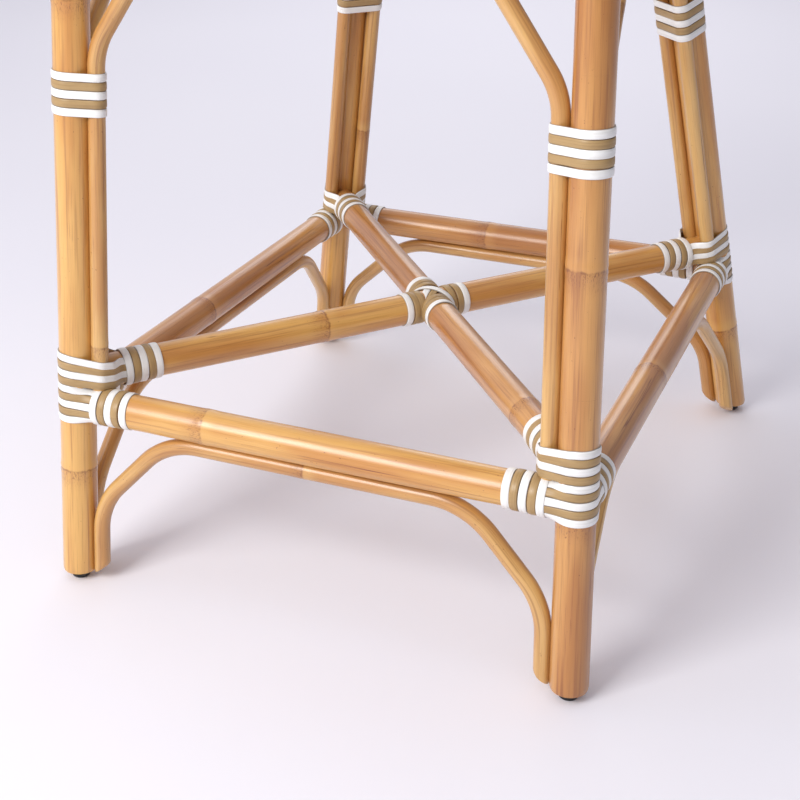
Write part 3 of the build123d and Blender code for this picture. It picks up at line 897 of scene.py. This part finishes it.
def arch_line(first, second, outline):
    """Line of an arch: up beside one leg, over to the seat ring, and down beside the next leg.

    The height of the shoulders' corner points and the slope of the runs between them and the crown depend on
    each other, so they are found by turns.
    """
    low = RAIL_HEIGHT + RAIL_RADIUS + ARCH_FOOT_GAP
    height = ARCH_BEND_START
    for turn in range(ARCH_FIT_TURNS):
        shoulders = [beside_leg(first, second, height), beside_leg(second, first, height)]
        half_span = np.linalg.norm(shoulders[1] - shoulders[0]) / 2
        rise = CROWN_HEIGHT - height - ARCH_BENDS[1]
        slope = math.atan2(rise, half_span) + math.asin(ARCH_BENDS[1] / math.hypot(rise, half_span))
        height = ARCH_BEND_START + ARCH_BENDS[0] * math.tan((math.pi / 2 - slope) / 2)
    centre = (leg_point(first, RING_HEIGHT) + leg_point(second, RING_HEIGHT))[:2] / 2
    crown = outline[np.linalg.norm(outline - centre, axis=1).argmin()]
    apex = np.array((crown[0], crown[1], height + half_span * math.tan(slope)))
    feet = beside_leg(first, second, low), beside_leg(second, first, low)
    return bent(np.array([feet[0], shoulders[0], apex, shoulders[1], feet[1]]), ARCH_BENDS)


def brace_line(first, second):
    """Line of a brace: up beside one leg, along under the rail, and down beside the next leg."""
    ends = []
    for corner, other in ((first, second), (second, first)):
        level = towards(corner, other, RAIL_HEIGHT)
        bend = leg_point(corner, RAIL_HEIGHT) + level * (ROD_SPACING + BRACE_KNEE_REACH)
        under = np.array((bend[0], bend[1], UNDER_RAIL_HEIGHT))
        foot = beside_leg(corner, other, BRACE_FOOT_HEIGHT)
        ends.append([foot, beside_leg(corner, other, BRACE_KNEE_HEIGHT), under])
    return bent(np.array(ends[0] + ends[1][::-1]), (BRACE_BEND,) * 4)


def cut_slanted(inward):
    """Foot cut on a slant that runs down towards the leg."""
    normal = UP * math.cos(BRACE_FOOT_SLANT) - inward * math.sin(BRACE_FOOT_SLANT)
    return lambda offset, ahead: -(offset @ normal) / (ahead @ normal)


def make_rods():
    """Arches under the seat and braces under the footrest."""
    outline = seat_outline()[0]
    arch_knots = {"front": (0.040, 0.42, 0.80), "rear": (0.102, 0.50, 0.85), "left": (0.34, 0.70),
                  "right": (0.36, 0.72)}
    brace_knots = {"front": (0.49,), "rear": (0.62,), "left": (0.36,), "right": (0.58,)}
    for name, (first, second) in RAILS.items():
        facing = unit(np.cross(towards(first, second, RAIL_HEIGHT), UP))
        arch = arch_line(first, second, outline)
        solid = cane_solid(arch, facing, ROD_RADIUS, ROD_SIDES, arch_knots[name], ROD_TAPER)
        make_piece(f"cane_arch_{name}", [solid], ROD_CANE, "rattan_rod", f"arch_{name}")
        brace = brace_line(first, second)
        length = lengths_along(brace)[-1]
        ends = (cut_slanted(towards(first, second, 0)), cut_slanted(towards(second, first, 0)))
        places = [length * k for k in brace_knots[name]]
        solid = cane_solid(brace, facing, ROD_RADIUS, ROD_SIDES, places, ROD_TAPER, ends)
        make_piece(f"cane_brace_{name}", [solid], ROD_CANE, "rattan_rod", f"brace_{name}")


def make_seat_bars():
    """Two bars across the inside of the seat ring."""
    for name in ("front", "rear"):
        low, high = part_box(f"seat_bar_{name}")
        along = middle(f"seat_bar_{name}")[1]
        start, end = np.array((low[0], along, RING_HEIGHT)), np.array((high[0], along, RING_HEIGHT))
        solid = cane_solid(straight(start, end), UP, BAR_RADIUS, ROD_SIDES, (0.13,), ROD_TAPER)
        make_piece(f"cane_seat_bar_{name}", [solid], POLE_CANE, "rattan_pole", f"seat_bar_{name}")


def make_tie(strips, tie, node, place=""):
    """One piece for each colour of the strips at a place, in the stead of the CAD node of that colour."""
    for colour, solids in strips.items():
        replaced = f"{node}_{colour}{place}"
        make_piece(f"{tie}_{colour}{place}", solids, STRIPS[colour], SLOTS[colour], replaced)


def make_bindings():
    """All the strips that tie the poles and rods together."""
    for corner in CORNERS:
        make_tie(upper_binding(corner), "leg_tie", "upper_binding", f"_{corner}")
        make_tie(joint_wrap(corner), "joint_tie", "corner_wrap", f"_{corner}")
    for name, ends in RAILS.items():
        strips = collars(ends, RAIL_HEIGHT, RAIL_COLLAR_START, RAIL_RADIUS)
        make_tie(strips, "rail_tie", "rail_collars", f"_{name}")
    for name, ends in STRETCHERS.items():
        strips = collars(ends, STRETCHER_HEIGHT, STRETCHER_COLLAR_START, STRETCHER_RADIUS)
        make_tie(strips, "stretcher_tie", "stretcher_collars", f"_{name}")
    make_tie(crossing_binding(), "crossing_tie", "crossing_lashing")


def make_seat_winding():
    """Two strips, white and tan, wound side by side round the whole seat ring.

    Each is a helix on the ring's tube: while the centre goes once round the outline, the strip goes many
    times round the tube, and the strip is wider on the outside of the bends than on the inside.
    """
    flat, out, bend = seat_outline()
    along = lengths_along(flat, True)
    turns = int(round(along[-1] / (2 * STRIP_PITCH)))
    places = np.linspace(0, along[-1], turns * WINDING_SIDES, endpoint=False)

    def at(values):
        values = np.concatenate([values, values[:1]])
        return np.interp(places, along, values)
    centre = np.column_stack([at(flat[:, 0]), at(flat[:, 1]), np.full(len(places), RING_HEIGHT)])
    level = unit(np.column_stack([at(out[:, 0]), at(out[:, 1]), np.zeros(len(places))]))
    curve = at(bend)
    for colour, begin in (("white", 0.0), ("tan", math.pi)):
        turn = 2 * math.pi * turns * places / along[-1] + begin
        outward = level * np.cos(turn)[:, None] + UP * np.sin(turn)[:, None]
        points = centre + outward * RING_RADIUS
        across = unit(np.cross(tangents(points, True), outward))
        width = STRIP_WIDTH * (1 + RING_RADIUS * curve * np.cos(turn))
        solid = strip_solid(points, outward, across, True, width, STRIP_THICKNESS, FLAT_SECTION)
        nodes = ("seat_ring",) if colour == "white" else ()
        make_piece(f"seat_winding_{colour}", [solid], STRIPS[colour], SLOTS[colour], *nodes)


def woven_height(x, y, reach):
    """Height of the woven seat: nearly flat at the ring, dished a little in the middle."""
    hollow = np.maximum(1 - (x / reach[0]) ** 2, 0) * np.maximum(1 - (y / reach[1]) ** 2, 0)
    return SEAT_TOP - WEAVE_DROP - SEAT_DISH * hollow


def make_seat_weave():
    """Woven seat: white strips from front to back, tan ones from side to side, each over one and under one.

    A strip's height is the seat's height plus a cosine wave of one pitch per half turn, and the strips across
    it take the opposite wave. Each strip ends where it meets the middle of the seat ring.
    """
    flat = seat_outline()[0]
    reach = np.abs(flat).max(axis=0)
    pitch = WEAVE_PITCH
    for colour, runs_along, fixed in (("white", 1, 0), ("tan", 0, 1)):
        low, high = flat[:, fixed].min() + pitch, flat[:, fixed].max() - pitch
        first = math.ceil(low / pitch)
        solids = []
        for index in range(first, int(high / pitch) + 1):
            place = index * pitch
            ends = crossings(flat, fixed, place)
            count = int((ends[1] - ends[0]) / pitch * WEAVE_POINTS) + 2
            run = np.linspace(ends[0], ends[1], count)
            points = np.empty((count, 3))
            points[:, fixed], points[:, runs_along] = place, run
            sign = 1 if (index % 2 == 0) == (colour == "white") else -1
            wave = WEAVE_WAVE * sign * np.cos(math.pi * run / pitch)
            points[:, 2] = woven_height(points[:, 0], points[:, 1], reach) + wave
            across = np.zeros((count, 3))
            across[:, fixed] = 1
            outward = unit(np.cross(tangents(points), across))
            outward = outward * np.sign(outward[:, 2:])
            solids.append(strip_solid(
                points, outward, across, False, WEAVE_STRIP_WIDTH, WEAVE_STRIP_THICKNESS, FLAT_SECTION))
        nodes = ("seat_panel",) if colour == "white" else ()
        make_piece(f"seat_weave_{colour}", solids, STRIPS[colour], "seat_weave", *nodes)


def crossings(outline, fixed, place):
    """Where a straight line across an outline enters and leaves it."""
    following = np.roll(outline, -1, axis=0)
    here, there = outline[:, fixed] - place, following[:, fixed] - place
    crosses = np.flatnonzero(here * there <= 0)
    share = here[crosses] / (here[crosses] - there[crosses])
    other = outline[crosses, 1 - fixed] + (following - outline)[crosses, 1 - fixed] * share
    return other.min(), other.max()


def make_seat_edge():
    """Broad white strip nailed on top of the ring over the ends of the weave."""
    flat, out = seat_outline()[:2]
    points = np.column_stack([flat, np.full(len(flat), SEAT_TOP - EDGE_STRIP_DROP)])
    across = np.column_stack([out, np.zeros(len(out))])
    outward = np.broadcast_to(UP, points.shape)
    solid = strip_solid(points, outward, across, True, EDGE_STRIP_WIDTH, EDGE_STRIP_THICKNESS)
    make_piece("seat_edge_strip", [solid], STRIPS["white"], "seat_weave")


def dress_cad_nodes():
    """Foot pads, screws and nails keep their CAD shape and get their finishes."""
    pad, steel = rubber_finish(), steel_finish()
    dressed = {f"glide_{corner}": pad for corner in CORNERS}
    dressed.update({name: steel for name in ("joint_screws", "seat_screws", "rod_nails", "glide_nails")})
    for name, material in dressed.items():
        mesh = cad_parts[name].data
        mesh.materials.clear()
        mesh.materials.append(material)


# ---------------------------------------------------------------- studio

CAMERA_PLACE = (0.4853, -1.2976, 0.7619)
FLOOR_REACH = 7
FLOOR_LINES = 15


def stand(name, data, right, upward, back, place):
    """Camera or light at a place, turned by its three axes."""
    item = bpy.data.objects.new(name, data)
    matrix = np.eye(4)
    matrix[:3] = np.column_stack([right, upward, back, place])
    item.matrix_world = Matrix(matrix.tolist())
    bpy.context.scene.collection.objects.link(item)
    return item


def make_camera():
    """Camera in front and to the right of the stool, as high as its seat, looking down on the footrest."""
    yaw, pitch, roll = math.radians(-24.09), math.radians(24.04), math.radians(-0.4)
    ahead = np.array((math.sin(yaw) * math.cos(pitch), math.cos(yaw) * math.cos(pitch), -math.sin(pitch)))
    level = np.array((math.cos(yaw), -math.sin(yaw), 0.0))
    upward = np.cross(level, ahead)
    right = level * math.cos(roll) + upward * math.sin(roll)
    upright = upward * math.cos(roll) - level * math.sin(roll)
    data = bpy.data.cameras.new("camera")
    data.sensor_width = 36.0
    data.lens = 69.73
    data.shift_x = 0.0697
    data.shift_y = -0.0615
    bpy.context.scene.camera = stand("camera", data, right, upright, -ahead, CAMERA_PLACE)


def make_floor():
    """Large pale floor under the stool."""
    side = np.linspace(-FLOOR_REACH, FLOOR_REACH, FLOOR_LINES)
    x, y = np.meshgrid(side, side, indexing="ij")
    points = np.column_stack([x.ravel(), y.ravel(), np.zeros(x.size)])
    rows, columns = np.meshgrid(np.arange(FLOOR_LINES - 1), np.arange(FLOOR_LINES - 1), indexing="ij")
    start = (rows * FLOOR_LINES + columns).ravel()
    faces = np.column_stack([start, start + FLOOR_LINES, start + FLOOR_LINES + 1, start + 1])
    mesh = bpy.data.meshes.new("floor")
    mesh.from_pydata(points, [], faces)
    mesh.materials.append(floor_finish())
    floor = bpy.data.objects.new("floor", mesh)
    bpy.context.scene.collection.objects.link(floor)


def make_light(name, place, target, size, power, colour=(1, 1, 1)):
    """Square soft light at a place, turned to face a target."""
    data = bpy.data.lights.new(name, "AREA")
    data.shape = "SQUARE"
    data.size = size
    data.energy = power
    data.color = colour
    back = unit(np.array(place, float) - np.array(target, float))
    right = unit(np.cross(UP, back))
    stand(name, data, right, np.cross(back, right), back, place)


def make_studio():
    """Soft pale surroundings, brightest high on the left and dimmest low on the right, and two lights.

    The large key light stands front left, and a faint one behind the stool lights the floor there.
    """
    world = bpy.data.worlds.new("studio")
    world.use_nodes = True
    tree = world.node_tree
    tree.nodes.clear()
    place = tree.nodes.new("ShaderNodeTexCoord")
    split = tree.nodes.new("ShaderNodeSeparateXYZ")
    across, above = (tree.nodes.new("ShaderNodeMath") for index in range(2))
    across.operation = above.operation = "MULTIPLY_ADD"
    across.inputs[1].default_value = -0.36
    across.inputs[2].default_value = 0.43
    above.inputs[1].default_value = 0.40
    seen = tree.nodes.new("ShaderNodeLightPath")
    backdrop = tree.nodes.new("ShaderNodeBackground")
    backdrop.inputs["Color"].default_value = tone(233, 233, 246)
    glow = tree.nodes.new("ShaderNodeBackground")
    glow.inputs["Color"].default_value = tone(244, 242, 250)
    mix = tree.nodes.new("ShaderNodeMixShader")
    output = tree.nodes.new("ShaderNodeOutputWorld")
    tree.links.new(place.outputs["Generated"], split.inputs[0])
    tree.links.new(split.outputs["X"], across.inputs[0])
    tree.links.new(split.outputs["Z"], above.inputs[0])
    tree.links.new(across.outputs[0], above.inputs[2])
    tree.links.new(above.outputs[0], glow.inputs["Strength"])
    tree.links.new(seen.outputs["Is Camera Ray"], mix.inputs[0])
    tree.links.new(glow.outputs[0], mix.inputs[1])
    tree.links.new(backdrop.outputs[0], mix.inputs[2])
    tree.links.new(mix.outputs[0], output.inputs[0])
    bpy.context.scene.world = world
    bpy.context.scene.view_settings.view_transform = "Standard"
    make_light("key", (-0.85, -2.25, 1.7), (0, 0, 0.15), size=1.2, power=53, colour=(1.0, 0.985, 0.96))
    make_light("backdrop_light", (-0.8, 2.3, 1.3), (-0.3, 1.4, 0), size=1.0, power=5)


make_camera()
make_floor()
make_studio()
make_legs()
make_footrest()
make_rods()
make_seat_bars()
make_bindings()
make_seat_winding()
make_seat_weave()
make_seat_edge()
dress_cad_nodes()
